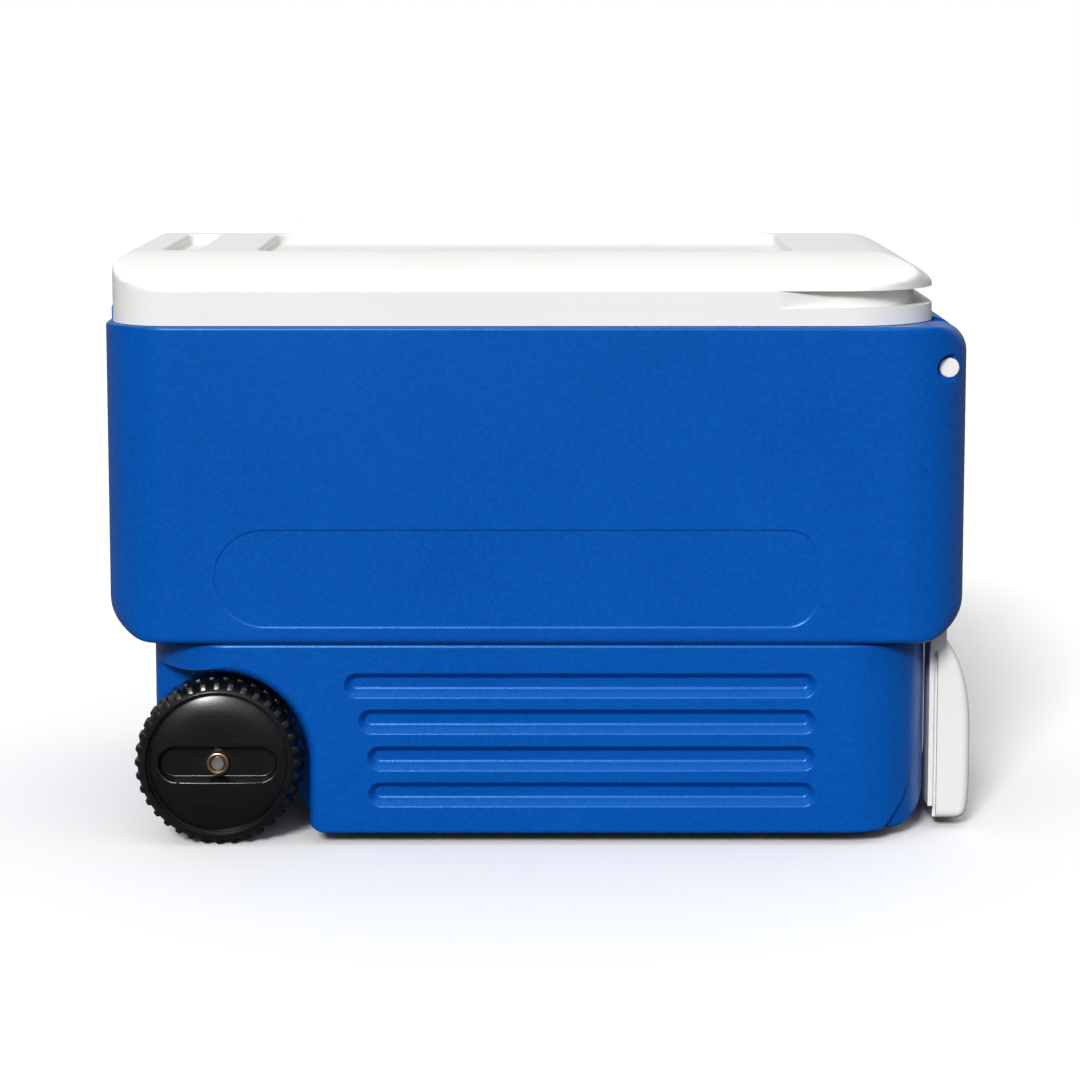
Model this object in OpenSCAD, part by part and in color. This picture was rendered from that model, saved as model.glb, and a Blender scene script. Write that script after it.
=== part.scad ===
// Wheeled cooler box: insulated tub, hinged lid, two wheels on one axle and a swing-out tow handle.
// The front faces -Y, the wheels are at the -X end, the tow handle is at the +X end and +Z is up.
// The origin is on the floor, under the middle of the whole object.

/* [Tub] */
// Length of the upper tub along X
body_l = 586; // [570:1:610]
// Width of the upper tub along Y
body_w = 360; // [350:1:380]
// Height of the tub's top rim above the floor
rim_z = 355; // [350:1:365]
// Height of the ledge where the upper tub meets the lower tub
ledge_z = 140; // [136:1:144]
// Height of the tub's underside above the floor
base_z = 8; // [6:1:10]
// Corner radius of the upper tub seen from above
tub_corner_r = 48; // [40:1:52]
// Thickness of the moulded outer shell
shell_t = 3; // [2:0.5:3.5]

/* [Cavity] */
// Length of the upper cavity
cavity_l = 494; // [480:1:496]
// Width of the upper cavity
cavity_w = 282; // [270:1:286]
// Height of the step floor over the axle
step_floor_z = 150; // [148:1:156]
// Height of the lower cavity's floor
floor_z = 46; // [44:1:60]
// Thickness of the inner liner
liner_t = 2.5; // [2:0.5:3]

/* [Lid] */
// Height of the lid's top above the floor
lid_top_z = 400; // [398:1:406]
// Height of the lower edge of the lid's shoulder
shoulder_z = 382; // [381:1:384]
// Depth of the tray moulded in the lid's top
tray_depth = 8; // [5:0.5:9]

/* [Wheels] */
// Outer radius of a wheel
wheel_r = 57; // [54:0.5:58]
// Width of the tread
tread_w = 38; // [34:1:40]
// Radius of the steel axle
axle_r = 4; // [3.5:0.25:4.25]

/* [Tow handle] */
// Height of the handle's pivot above the floor
pivot_z = 326; // [322:1:330]
// Radius of a pivot pin
pivot_pin_r = 6.75; // [6:0.25:6.75]
// Width of one handle arm along Y
arm_w = 30; // [26:1:32]
// Half width of the handle across its arms
handle_hw = 132; // [126:1:132]

/* [Hidden] */
$fn = 96;
blue = "#0b50ad";
white = "#f4f4f2";
black = "#1c1c1e";
cream = "#e9dfb8";
steel = "#a9abae";
bronze = "#9a7a4c";

tiny = 0.01;
far = 400;

// Tub
body_hw = body_w / 2;
body_x0 = -body_l / 2 - 4;
body_x1 = body_x0 + body_l;
low_x0 = body_x0 + 28.5;
low_x1 = body_x1 - 24;
low_hw = body_hw - 3.5;
low_corner_r = 60;
upper_bottom_r = 26;
upper_top_r = 20;
low_right_r = 28;
low_step_x = -169;
low_step_z = 38;
low_step_r = 26;
join_z = ledge_z + 20;

// Grooves moulded in both long sides of the lower tub
groove_h = 17;
groove_depth = 5.5;
groove_z = [35.5, 60.5, 86, 111];
groove_x0 = [-118.5, -119, -125, -134.5];
groove_x1 = 185.5;

// Cavity
cavity_x0 = body_x0 + 39;
cavity_x1 = cavity_x0 + cavity_l;
cavity_hw = cavity_w / 2;
low_cavity_x0 = -118;
low_cavity_x1 = 200;
low_cavity_hw = 135;
cavity_r = 30;
flange_x0 = body_x0 + 11;
flange_x1 = body_x1 - 29;
flange_hw = body_hw - 10;
flange_t = 3;

// Wheels and axle
wheel_x = -220.5;
wheel_z = wheel_r;
well_gap = 4.5;
well_y = 136;
flare_r = 70;
flare_depth = 12;
wheel_out_y = body_hw;
wheel_in_y = wheel_out_y - tread_w;
hub_in_y = wheel_in_y - 2.5;
hub_r = 14;
face_slot_l = 83;
face_slot_w = 25;
face_slot_depth = 8;
run_gap = 0.08;
bush_r = 7;
bush_flange_r = 11;
bush_flange_t = 1.6;
bush_l = 20;
washer_r = 11;
washer_t = 1.5;
nut_r = 7.8;
nut_t = 5;
plug_r = 14;
plug_head_r = 17;
plug_x = 60;
plug_head_t = 1.2;
cap_gap = 0.4;
rim_step = 1.5;
rim_step_r = [47, 50];
web_t = 6;

// Tow handle: the grip's outline bulges outwards below the tub's ledge
pivot_x = body_x1 - 15.2;
channel_x = body_x1 - 25.5;
channel_gap = 2.5;
arm_in_x = pivot_x - 5.3;
arm_out_x = pivot_x + 5.5;
arm_head_r = 9.8;
grip_top_z = 134;
grip_mid_z = 50;
grip_low_z = 7;
grip_in_x = 268;
grip_out_x = 297;
grip_bar_h = 36;
pin_hole_r = 8.8;
pin_boss_r = 12;
pin_out_y = body_hw - 16;
pin_hole_floor_y = body_hw - 18;

// Hand scoop behind the grip, and runners that carry the handle end
scoop_x = 238;
scoop_hw = 98;
scoop_top_z = 102;
runner_x = [178, 232];
runner_y = [92, 128];

// Lid
lid_gap = 0.4;
lid_z0 = rim_z + lid_gap;
lid_x0 = body_x0 + 4.7;
lid_x1 = body_x1 - 21.5;
lid_hw = body_hw - 4;
lid_left_r = 44;
lid_right_r = 65;
lid_t = 3;
lid_edge_r = 10;
crown_y = 99;
crown_r = 260;
crown_c = arc_centre([crown_y, lid_top_z], [lid_hw, shoulder_z], crown_r);
nose_x = lid_x1 - 39.5;
nose_r = 60;
nose_c = arc_centre([nose_x, lid_top_z], [lid_x1, shoulder_z], nose_r);
lip_under_z = shoulder_z - 1.5;
lip_ledge_z = rim_z + 12;
lip_x0 = 152;
neck_side = 8;
neck_end = 13;
tray_x0 = -200;
tray_x1 = 176;
tray_hw = 97;
tray_r = 22;
trough_x0 = -266;
trough_x1 = -239;
trough_hw = 88;
trough_r = 12;
lid_plug_depth = 15;
lid_plug_gap = 4;
panel_t = 3;
lid_fill_r = 12;

// Lid hinge: three knuckles at each of two places on the wheel end
hinge_x = body_x0 + 6;
hinge_z = rim_z + 7.3;
hinge_y = 95;
knuckle_r = 4.5;
knuckle_l = 12;
lid_knuckle_l = 20;
knuckle_gap = 0.5;
hinge_pin_r = 1.5;
hinge_pin_l = 2 * knuckle_l + lid_knuckle_l + 2 * knuckle_gap;
rail_in_x = lid_x0 + 10;
rail_top_z = hinge_z + 7.7;
rail_hw = 130;

// Centre of the arc of radius r that bulges upwards from p down to q
function arc_centre(p, q, r) =
    let (run = (q - p) / norm(q - p), rise = sqrt(r * r - pow(norm(q - p) / 2, 2)))
    (p + q) / 2 + rise * [run.y, -run.x];

// Outline seen from above, from x0 to x1, with its own corner radius at each end
module plan(x0, x1, hw, r0, r1) {
    translate([x0 + r0, -hw])
        square([x1 - r1 - x0 - r0, 2 * hw]);
    translate([x0, r0 - hw])
        square([r0 + tiny, 2 * (hw - r0)]);
    translate([x1 - r1 - tiny, r1 - hw])
        square([r1 + tiny, 2 * (hw - r1)]);
    for (side = [-1, 1]) {
        translate([x0 + r0, side * (hw - r0)])
            circle(r0);
        translate([x1 - r1, side * (hw - r1)])
            circle(r1);
    }
}

// Prism of an outline drawn in X and Z
module along_y(y0, y1) {
    translate([0, y1, 0])
        rotate([90, 0, 0])
            linear_extrude(y1 - y0)
                children();
}

// Prism of an outline drawn in Y and Z
module along_x(x0, x1) {
    translate([x0, 0, 0])
        rotate([90, 0, 90])
            linear_extrude(x1 - x0)
                children();
}

// Cylinder along Y at (x, z)
module rod(x, z, r, y0, y1) {
    translate([x, y1, z])
        rotate([90, 0, 0])
            cylinder(r = r, h = y1 - y0);
}

module box(x, y, z) {
    translate([x[0], y[0], z[0]])
        cube([x[1] - x[0], y[1] - y[0], z[1] - z[0]]);
}

// Both of a front and rear pair
module pair() {
    children();
    mirror([0, 1, 0])
        children();
}

// Side outline of the upper tub, every face moved in by i
module upper_profile(i) {
    low_r = upper_bottom_r - i;
    high_r = upper_top_r - i;
    x0 = body_x0 + i;
    x1 = body_x1 - i;
    z0 = ledge_z + i;
    z1 = rim_z - i;
    translate([x0 + low_r, z0])
        square([x1 - x0 - 2 * low_r, low_r + tiny]);
    translate([x0, z0 + low_r])
        square([x1 - x0, z1 - high_r - z0 - low_r]);
    translate([x0, z1 - high_r - tiny])
        square([x1 - high_r - x0, high_r + tiny]);
    for (x = [x0 + low_r, x1 - low_r])
        translate([x, z0 + low_r])
            circle(low_r);
    translate([x1 - high_r, z1 - high_r])
        circle(high_r);
}

// Side outline of the lower tub: the underside steps up over the axle
module lower_profile(i) {
    right_r = low_right_r - i;
    left_r = low_step_r - i;
    x1 = low_x1 - i;
    z0 = base_z + i;
    translate([low_step_x + i + left_r, z0])
        square([x1 - right_r - low_step_x - i - left_r, join_z - z0]);
    translate([low_x0 + i, low_step_z + i])
        square([x1 - low_x0 - i, join_z - low_step_z - i]);
    translate([low_step_x + i + left_r, z0 + left_r])
        circle(left_r);
    translate([x1 - right_r, z0 + right_r])
        circle(right_r);
}

// Space for one wheel, from the tub's long side to the well's inner wall
module wheel_well(i) {
    r = wheel_r + well_gap + i;
    rod(wheel_x, wheel_z, r, -far, -(well_y - i));
    box([-far, wheel_x], [-far, -(well_y - i)], [-far, wheel_z + r]);
    translate([wheel_x, flare_depth - low_hw + i, wheel_z])
        rotate([90, 0, 0])
            cylinder(r1 = r, r2 = flare_r + i, h = flare_depth);
}

// Channel that one handle arm lies in
module arm_channel(i) {
    box([channel_x - i, far], [-(handle_hw + channel_gap + i), -(handle_hw - arm_w - channel_gap - i)],
        [ledge_z - 30, far]);
}

module groove(k) {
    along_y(-far, groove_depth - low_hw) {
        translate([groove_x0[k] + groove_h / 2, groove_z[k] - groove_h / 2])
            square([groove_x1 - groove_x0[k] - groove_h, groove_h]);
        for (x = [groove_x0[k] + groove_h / 2, groove_x1 - groove_h / 2])
            translate([x, groove_z[k]])
                circle(groove_h / 2);
    }
}

// The tub's whole outside, every face moved in by i
module tub_form(i) {
    difference() {
        union() {
            intersection() {
                translate([0, 0, ledge_z + i])
                    linear_extrude(rim_z - ledge_z - 2 * i)
                        plan(body_x0 + i, body_x1 - i, body_hw - i, tub_corner_r - i, tub_corner_r - i);
                along_y(-far, far)
                    upper_profile(i);
            }
            intersection() {
                translate([0, 0, base_z + i])
                    linear_extrude(join_z - base_z - i)
                        plan(low_x0 + i, low_x1 - i, low_hw - i, low_corner_r - i, low_corner_r - i);
                along_y(-far, far)
                    lower_profile(i);
            }
        }
        pair() {
            wheel_well(i);
            arm_channel(i);
        }
        box([scoop_x - i, far], [-scoop_hw - i, scoop_hw + i], [-far, scoop_top_z + i]);
    }
}

// Space inside the outer shell
module shell_hollow() {
    difference() {
        tub_form(shell_t);
        pair() {
            box([groove_x0[3] - shell_t, groove_x1 + shell_t], [-far, groove_depth + shell_t - low_hw],
                [groove_z[0] - groove_h / 2 - shell_t, groove_z[3] + groove_h / 2 + shell_t]);
            rod(pivot_x, pivot_z, pin_boss_r, -far, -handle_hw);
        }
    }
}

module flange_plan(x0, x1, hw) {
    plan(x0, x1, hw, 38, 56);
}

module outer_shell() {
    color(blue)
        difference() {
            union() {
                difference() {
                    tub_form(0);
                    shell_hollow();
                    pair()
                        for (k = [0:3])
                            groove(k);
                }
                pair() {
                    box(runner_x, -[runner_y[1], runner_y[0]], [0, base_z + shell_t]);
                    hinge_knuckle(-hinge_y - lid_knuckle_l / 2 - knuckle_gap - knuckle_l);
                    hinge_knuckle(-hinge_y + lid_knuckle_l / 2 + knuckle_gap);
                }
            }
            translate([0, 0, rim_z - flange_t])
                linear_extrude(far)
                    flange_plan(flange_x0, flange_x1, flange_hw);
            translate([plug_x, 0, 0])
                cylinder(r = plug_r, h = base_z + shell_t + 1);
            pair() {
                rod(wheel_x, wheel_z, bush_r, -well_y - 1, -(well_y - shell_t - 1));
                rod(pivot_x, pivot_z, pivot_pin_r, -far, -(handle_hw - 1));
                rod(pivot_x, pivot_z, pin_hole_r, -far, -pin_hole_floor_y);
                rod(hinge_x, hinge_z, hinge_pin_r,
                    -(hinge_y + hinge_pin_l / 2), -(hinge_y - hinge_pin_l / 2));
            }
        }
}

// One knuckle that stands on the tub's rim
module hinge_knuckle(y0) {
    rod(hinge_x, hinge_z, knuckle_r, y0, y0 + knuckle_l);
    box([hinge_x - knuckle_r, hinge_x + knuckle_r], [y0, y0 + knuckle_l], [rim_z - tiny, hinge_z]);
}

// The cavity grown by t on every side but the top
module cavity_form(t) {
    translate([0, 0, step_floor_z - t])
        linear_extrude(rim_z - step_floor_z + t)
            plan(cavity_x0 - t, cavity_x1 + t, cavity_hw + t, cavity_r + t, cavity_r + t);
    translate([0, 0, floor_z - t])
        linear_extrude(join_z - floor_z)
            plan(low_cavity_x0 - t, low_cavity_x1 + t, low_cavity_hw + t, cavity_r + t, cavity_r + t);
}

module liner() {
    color(white)
        difference() {
            union() {
                cavity_form(liner_t);
                translate([0, 0, rim_z - flange_t])
                    linear_extrude(flange_t)
                        flange_plan(flange_x0, flange_x1, flange_hw);
            }
            cavity_form(0);
            translate([0, 0, rim_z - 1])
                linear_extrude(2)
                    plan(cavity_x0, cavity_x1, cavity_hw, cavity_r, cavity_r);
        }
}

module body_foam() {
    color(cream)
        difference() {
            shell_hollow();
            cavity_form(liner_t);
            rod(wheel_x, wheel_z, axle_r + 0.6, -far, far);
            pair()
                rod(wheel_x, wheel_z, bush_r, -well_y, -(well_y - bush_l));
            box([-far, far], [-far, far], [rim_z - flange_t, far]);
        }
}

module body_fill_plug() {
    color(blue)
        translate([plug_x, 0, base_z]) {
            cylinder(r = plug_r, h = shell_t);
            translate([0, 0, -plug_head_t])
                cylinder(r = plug_head_r, h = plug_head_t);
        }
}

// The lid's whole outside, top and sides moved in by i
module lid_form(i) {
    edge_r = lid_edge_r - i;
    intersection() {
        translate([0, 0, lid_z0])
            linear_extrude(lid_top_z - i - lid_z0)
                plan(lid_x0 + i, lid_x1 - i, lid_hw - i, lid_left_r - i, lid_right_r - i);
        along_y(-far, far) {
            translate([lid_x0 + i, 0])
                square([nose_x - lid_x0 - i, lid_top_z - lid_edge_r]);
            translate([lid_x0 + i + edge_r, 0])
                square([nose_x - lid_x0 - i - edge_r, lid_top_z - i]);
            translate([lid_x0 + i + edge_r, lid_top_z - i - edge_r])
                circle(edge_r);
            shoulder(nose_x, far, nose_c, nose_r, i);
        }
        along_x(-far, far) {
            translate([-crown_y, 0])
                square([2 * crown_y, lid_top_z - i]);
            shoulder(crown_y, far, crown_c, crown_r, i);
            mirror([1, 0])
                shoulder(crown_y, far, crown_c, crown_r, i);
        }
    }
}

// Part of a side outline from x0 to x1 that lies under the arc with centre c
module shoulder(x0, x1, c, r, i) {
    intersection() {
        translate(c)
            circle(r - i);
        translate([x0 - tiny, lid_z0 - 1])
            square([x1 - x0, far]);
    }
}

// Space under the finger lip at the handle end
module lip_gap() {
    translate([0, 0, lip_ledge_z])
        linear_extrude(lip_under_z - lip_ledge_z)
            difference() {
                translate([lip_x0, -far])
                    square([far, 2 * far]);
                plan(lid_x0, lid_x1 - neck_end, lid_hw - neck_side, lid_left_r, lid_right_r - neck_side);
            }
}

// Tray and hinge-end trough in the lid's top, grown by t
module lid_recesses(t) {
    translate([0, 0, lid_top_z - tray_depth - t]) {
        linear_extrude(far)
            plan(tray_x0 - t, tray_x1 + t, tray_hw + t, tray_r + t, tray_r + t);
        linear_extrude(far)
            plan(trough_x0 - t, trough_x1 + t, trough_hw + t, trough_r + t, trough_r + t);
    }
}

// Space inside the lid's shell
module lid_hollow() {
    difference() {
        intersection() {
            lid_form(lid_t);
            translate([0, 0, lid_z0 - 1])
                linear_extrude(far)
                    plan(lid_x0 + lid_t, lid_x1 - neck_end - lid_t, lid_hw - neck_side - lid_t,
                        lid_left_r - lid_t, lid_right_r - neck_side - lid_t);
        }
        lid_recesses(lid_t);
        box([-far, rail_in_x], [-rail_hw, rail_hw], [0, rail_top_z]);
    }
}

module lid_shell() {
    notch_r = knuckle_r + 0.9;
    notch_in = lid_knuckle_l / 2;
    notch_out = hinge_pin_l / 2 + knuckle_gap;
    notches = [[-notch_out, -notch_in], [notch_in, notch_out]];
    color(white)
        difference() {
            lid_form(0);
            lid_hollow();
            lid_recesses(0);
            lip_gap();
            pair()
                for (notch = notches) {
                    y = [notch[0] - hinge_y, notch[1] - hinge_y];
                    rod(hinge_x, hinge_z, notch_r, y[0], y[1]);
                    box([-far, hinge_x + notch_r], y, [0, hinge_z]);
                    box([-far, hinge_x], y, [0, hinge_z + notch_r]);
                }
            pair()
                rod(hinge_x, hinge_z, hinge_pin_r + run_gap,
                    -(hinge_y + notch_out), -(hinge_y - notch_out));
        }
}

// Plug of the inner panel that drops into the tub's mouth, from height z upwards
module lid_plug_form(t, z, h) {
    g = lid_plug_gap + t;
    translate([0, 0, z])
        linear_extrude(h)
            plan(cavity_x0 + g, cavity_x1 - g, cavity_hw - g, cavity_r - g, cavity_r - g);
}

module lid_liner() {
    plug_z = rim_z - lid_plug_depth;
    color(white)
        difference() {
            union() {
                intersection() {
                    lid_hollow();
                    box([-far, far], [-far, far], [lid_z0, lid_z0 + panel_t]);
                }
                lid_plug_form(0, plug_z, lid_plug_depth + lid_gap + tiny);
            }
            lid_plug_form(liner_t, plug_z + liner_t, far);
            translate([0, 0, plug_z - 1])
                cylinder(r = lid_fill_r, h = 10);
        }
}

module lid_foam() {
    plug_z = rim_z - lid_plug_depth + liner_t;
    color(cream)
        union() {
            intersection() {
                lid_hollow();
                box([-far, far], [-far, far], [lid_z0 + panel_t, far]);
            }
            lid_plug_form(liner_t, plug_z, lid_z0 + panel_t + tiny - plug_z);
        }
}

module lid_fill_plug() {
    color(white)
        translate([0, 0, rim_z - lid_plug_depth]) {
            cylinder(r = lid_fill_r, h = liner_t);
            translate([0, 0, -plug_head_t])
                cylinder(r = lid_fill_r + 2, h = plug_head_t);
        }
}

module hinge_pin_front() {
    color(steel)
        rod(hinge_x, hinge_z, hinge_pin_r, -(hinge_y + hinge_pin_l / 2), -(hinge_y - hinge_pin_l / 2));
}

module hinge_pin_rear() {
    mirror([0, 1, 0])
        hinge_pin_front();
}

module axle() {
    color(steel)
        rod(wheel_x, wheel_z, axle_r, -(wheel_out_y - 4), wheel_out_y - 4);
}

module axle_bush_front() {
    color(black)
        difference() {
            union() {
                rod(wheel_x, wheel_z, bush_r, -well_y, -(well_y - bush_l));
                rod(wheel_x, wheel_z, bush_flange_r, -(well_y + bush_flange_t), -well_y);
            }
            rod(wheel_x, wheel_z, axle_r + 0.05, -far, far);
        }
}

module axle_bush_rear() {
    mirror([0, 1, 0])
        axle_bush_front();
}

module wheel_washer_front() {
    y0 = well_y + bush_flange_t;
    color(steel)
        difference() {
            rod(wheel_x, wheel_z, washer_r, -(y0 + washer_t), -y0);
            rod(wheel_x, wheel_z, axle_r + 0.2, -far, far);
        }
}

module wheel_washer_rear() {
    mirror([0, 1, 0])
        wheel_washer_front();
}

// Hollow-backed wheel with a long finger slot across its face
module wheel_front() {
    floor_y = wheel_out_y - face_slot_depth;
    slot_c = (face_slot_l - face_slot_w) / 2;
    color(black)
        difference() {
            union() {
                rod(wheel_x, wheel_z, wheel_r, -wheel_out_y, -wheel_in_y);
                rod(wheel_x, wheel_z, hub_r, -floor_y, -hub_in_y);
            }
            difference() {
                rod(wheel_x, wheel_z, rim_step_r[1], -(floor_y - web_t), -(hub_in_y - 1));
                rod(wheel_x, wheel_z, hub_r, -floor_y, -hub_in_y);
            }
            difference() {
                rod(wheel_x, wheel_z, rim_step_r[1], -far, -(wheel_out_y - rim_step));
                rod(wheel_x, wheel_z, rim_step_r[0], -far, 0);
            }
            for (side = [-1, 1])
                rod(wheel_x + side * slot_c, wheel_z, face_slot_w / 2, -far, -floor_y);
            box([wheel_x - slot_c, wheel_x + slot_c], [-far, -floor_y],
                [wheel_z - face_slot_w / 2, wheel_z + face_slot_w / 2]);
            rod(wheel_x, wheel_z, axle_r + run_gap, -far, 0);
        }
}

module wheel_rear() {
    mirror([0, 1, 0])
        wheel_front();
}

// Push-on cap that grips the axle's end
module axle_nut_front() {
    y0 = wheel_out_y - face_slot_depth + cap_gap;
    color(bronze)
        difference() {
            rod(wheel_x, wheel_z, nut_r, -(y0 + nut_t), -y0);
            rod(wheel_x, wheel_z, axle_r, -far, 0);
            rod(wheel_x, wheel_z, axle_r + 1.4, -far, -(y0 + 1.5));
        }
}

module axle_nut_rear() {
    mirror([0, 1, 0])
        axle_nut_front();
}

// Distance of the grip's outer face from its fullest point, at height z
function grip_fall(z) = z > grip_mid_z
    ? (grip_out_x - arm_out_x) * pow((z - grip_mid_z) / (grip_top_z - grip_mid_z), 3.5)
    : 7 * pow((grip_mid_z - z) / (grip_mid_z - grip_low_z), 4);

module tow_handle() {
    steps = 16;
    grip_h = grip_top_z - grip_low_z;
    outer = [for (k = [0:steps])
        let (z = grip_low_z + grip_h * k / steps)
        [grip_out_x - grip_fall(z), z]];
    inner = [[grip_in_x, grip_top_z], [grip_in_x, grip_low_z + 5], [grip_in_x + 5, grip_low_z]];
    color(white)
        difference() {
            union() {
                along_y(-handle_hw, handle_hw)
                    polygon(concat(inner, outer));
                pair() {
                    box([arm_in_x, arm_out_x], [-handle_hw, arm_w - handle_hw],
                        [grip_top_z - tiny, pivot_z]);
                    rod(pivot_x, pivot_z, arm_head_r, -handle_hw, arm_w - handle_hw);
                }
            }
            box([0, far], [arm_w - handle_hw, handle_hw - arm_w], [grip_low_z + grip_bar_h, far]);
            rod(pivot_x, pivot_z, pivot_pin_r + run_gap, -far, far);
        }
}

module handle_pin_front() {
    color(white)
        rod(pivot_x, pivot_z, pivot_pin_r, -pin_out_y, arm_w - handle_hw + 1);
}

module handle_pin_rear() {
    mirror([0, 1, 0])
        handle_pin_front();
}

outer_shell();
body_foam();
liner();
body_fill_plug();
lid_shell();
lid_foam();
lid_liner();
lid_fill_plug();
hinge_pin_front();
hinge_pin_rear();
axle();
axle_bush_front();
axle_bush_rear();
wheel_washer_front();
wheel_washer_rear();
wheel_front();
wheel_rear();
axle_nut_front();
axle_nut_rear();
tow_handle();
handle_pin_front();
handle_pin_rear();
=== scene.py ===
"""Wheeled cooler box: blue tub, white hinged lid, two black wheels and a white tow handle.

Every size below is in millimetres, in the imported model's own frame, and is made metres as it is used.
"""

import math

import bpy
from mathutils import Matrix, Vector


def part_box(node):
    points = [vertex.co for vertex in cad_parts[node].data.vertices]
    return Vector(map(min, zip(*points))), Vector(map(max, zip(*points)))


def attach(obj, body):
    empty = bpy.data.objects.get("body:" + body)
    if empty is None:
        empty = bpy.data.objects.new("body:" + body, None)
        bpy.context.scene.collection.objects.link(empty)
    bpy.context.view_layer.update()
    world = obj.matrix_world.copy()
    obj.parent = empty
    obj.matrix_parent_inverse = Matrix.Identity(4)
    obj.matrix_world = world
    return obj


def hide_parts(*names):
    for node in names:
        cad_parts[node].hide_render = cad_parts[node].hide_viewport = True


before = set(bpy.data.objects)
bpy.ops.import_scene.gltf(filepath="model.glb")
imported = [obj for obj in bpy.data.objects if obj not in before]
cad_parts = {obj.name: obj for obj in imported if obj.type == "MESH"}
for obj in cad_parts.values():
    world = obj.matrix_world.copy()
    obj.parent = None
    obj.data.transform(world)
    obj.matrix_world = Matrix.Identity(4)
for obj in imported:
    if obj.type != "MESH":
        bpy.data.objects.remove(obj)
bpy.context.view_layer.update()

MM = 0.001
# Reach of cutting shapes that pass right through the cooler, along X and along Y
FAR_X, FAR_Y = 400, 300


def span(node):
    """Lowest and highest corner of a solid node, in millimetres."""
    low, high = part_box(node)
    return low / MM, high / MM


tub_low, tub_high = span("outer_shell")
_, liner_high = span("liner")
lid_low, lid_high = span("lid_shell")
wheel_low, wheel_high = span("wheel_front")
handle_low, handle_high = span("tow_handle")
pin_low, pin_high = span("handle_pin_front")
cap_low, cap_high = span("axle_nut_front")
hinge_low, hinge_high = span("hinge_pin_front")

# Tub
TUB_X0, TUB_X1, TUB_HW = tub_low.x, tub_high.x, tub_high.y
RIM_Z, LEDGE_Z, BASE_Z = liner_high.z, 140.0, 8.0
TUB_CORNER, TUB_FOOT_R, TUB_TOP_R = 48.0, 26.0, 20.0
LOW_X0, LOW_X1, LOW_HW = TUB_X0 + 28.5, TUB_X1 - 24.0, TUB_HW - 3.5
LOW_CORNER, LOW_FOOT_R, STEP_X, STEP_Z = 60.0, 28.0, -169.0, 38.0
WALL, END_BACK = 3.0, 9.0
TUB_EDGE_R, TUB_SQUEEZE = 4.0, 14.0
LOW_TOP_R, LOW_SEAT, LOW_BOTTOM_R = 3.5, 3, 3.0
PIN_HOLE_R, PIN_HOLE_RIM_R = 9.6, 10.3
# Right-hand edge of the lower tub's long sides, from the floor up: height, then X
CREASE = [(8, 229), (11, 233), (16, 237.6), (28, 246), (40, 251)]
CREASE += [(55, 254.8), (76, 259.6), (93, 262.6), (116, 264.6)]
# Each groove's height above the floor and its left end
GROOVES = [(35.5, -118.5), (60.5, -119), (86, -125), (111, -134.5)]
GROOVE_H, GROOVE_X1, GROOVE_DEPTH, GROOVE_WALL = 17.0, 185.5, 5.5, 5.6
GROOVE_IN_R, GROOVE_OUT_R, GROOVE_STEEP = 3.6, 1.8, 0.7
PANEL_X, PANEL_Z, PANEL_R = (-222, 186), (151, 219), (33.5, 20)

# Liner
LINER_WALL, CAVITY_R, CAVITY_FOOT_R = 2.5, 30, 9
SHELF_Z, DEEP_Z = 150, 46
RIM_THICK = 3

# Wheels
AXLE_X, AXLE_Z = (wheel_low.x + wheel_high.x) / 2, (wheel_low.z + wheel_high.z) / 2
WHEEL_R = wheel_high.z - AXLE_Z
FACE_Y, TYRE_IN_Y, HUB_IN_Y = -wheel_low.y, TUB_HW - 38.0, -wheel_high.y
WELL_R, WELL_Y, FLARE_R = WHEEL_R + 4.5, 136.0, 69.0
TREAD_R, LUGS = WHEEL_R - 1.4, 36
SLOT_X, SLOT_R = 29, 9.9

# Lid
LID_X0, LID_X1, LID_HW = lid_low.x, lid_high.x, lid_high.y
LID_Z0, LID_TOP, SHOULDER_Z = lid_low.z, lid_high.z, 382.0
CROWN_Y, NOSE_X, LEFT_EDGE_R = 99.0, LID_X1 - 39.5, 10.0
CROWN_R, NOSE_R, SHOULDER_R, SHOULDER_TURN = 260, 60, 7.0, 66.0
LIP_Z = (RIM_Z + 12, SHOULDER_Z - 3.4)
LID_IN_TOP, LID_IN_R = LID_TOP - 13, 11
HOLLOW_DEPTH, HOLLOW_EDGE_R, HOLLOW_FOOT_R = 7.5, 2.5, 3.5

# Tow handle
PIVOT_X, PIVOT_Z = (pin_low.x + pin_high.x) / 2, (pin_low.z + pin_high.z) / 2
PIN_R = pin_high.z - PIVOT_Z
HANDLE_HW, ARM_W = handle_high.y, 30.0
ARM_X0, ARM_X1 = PIVOT_X - 5.3, PIVOT_X + 5.5
GRIP_X0, GRIP_X1, GRIP_Z0, GRIP_Z1 = 268.0, handle_high.x, handle_low.z, 134.0
GRIP_MID, GRIP_FULL, GRIP_BAR = 60.0, 50, 36

# Lid hinge
HINGE_X, HINGE_Z = (hinge_low.x + hinge_high.x) / 2, (hinge_low.z + hinge_high.z) / 2
HINGE_Y, KNUCKLE_R, NOTCH_R = 95.0, 4.5, 5.4


# Making and shaping meshes ---------------------------------------------------


def only(obj):
    """Selects obj alone and makes it active."""
    bpy.ops.object.select_all(action="DESELECT")
    obj.select_set(True)
    bpy.context.view_layer.objects.active = obj


def placed(name):
    """Names the primitive that was just added and puts its origin at the frame's."""
    obj = bpy.context.active_object
    obj.name = obj.data.name = name
    only(obj)
    bpy.ops.object.transform_apply(location=True, rotation=True, scale=True)
    return obj


def block(name, x, y, z):
    """Box between two values on each axis."""
    size = [(b - a) * MM for a, b in (x, y, z)]
    middle = [(a + b) / 2 * MM for a, b in (x, y, z)]
    bpy.ops.mesh.primitive_cube_add(size=1, location=middle, scale=size)
    return placed(name)


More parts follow.
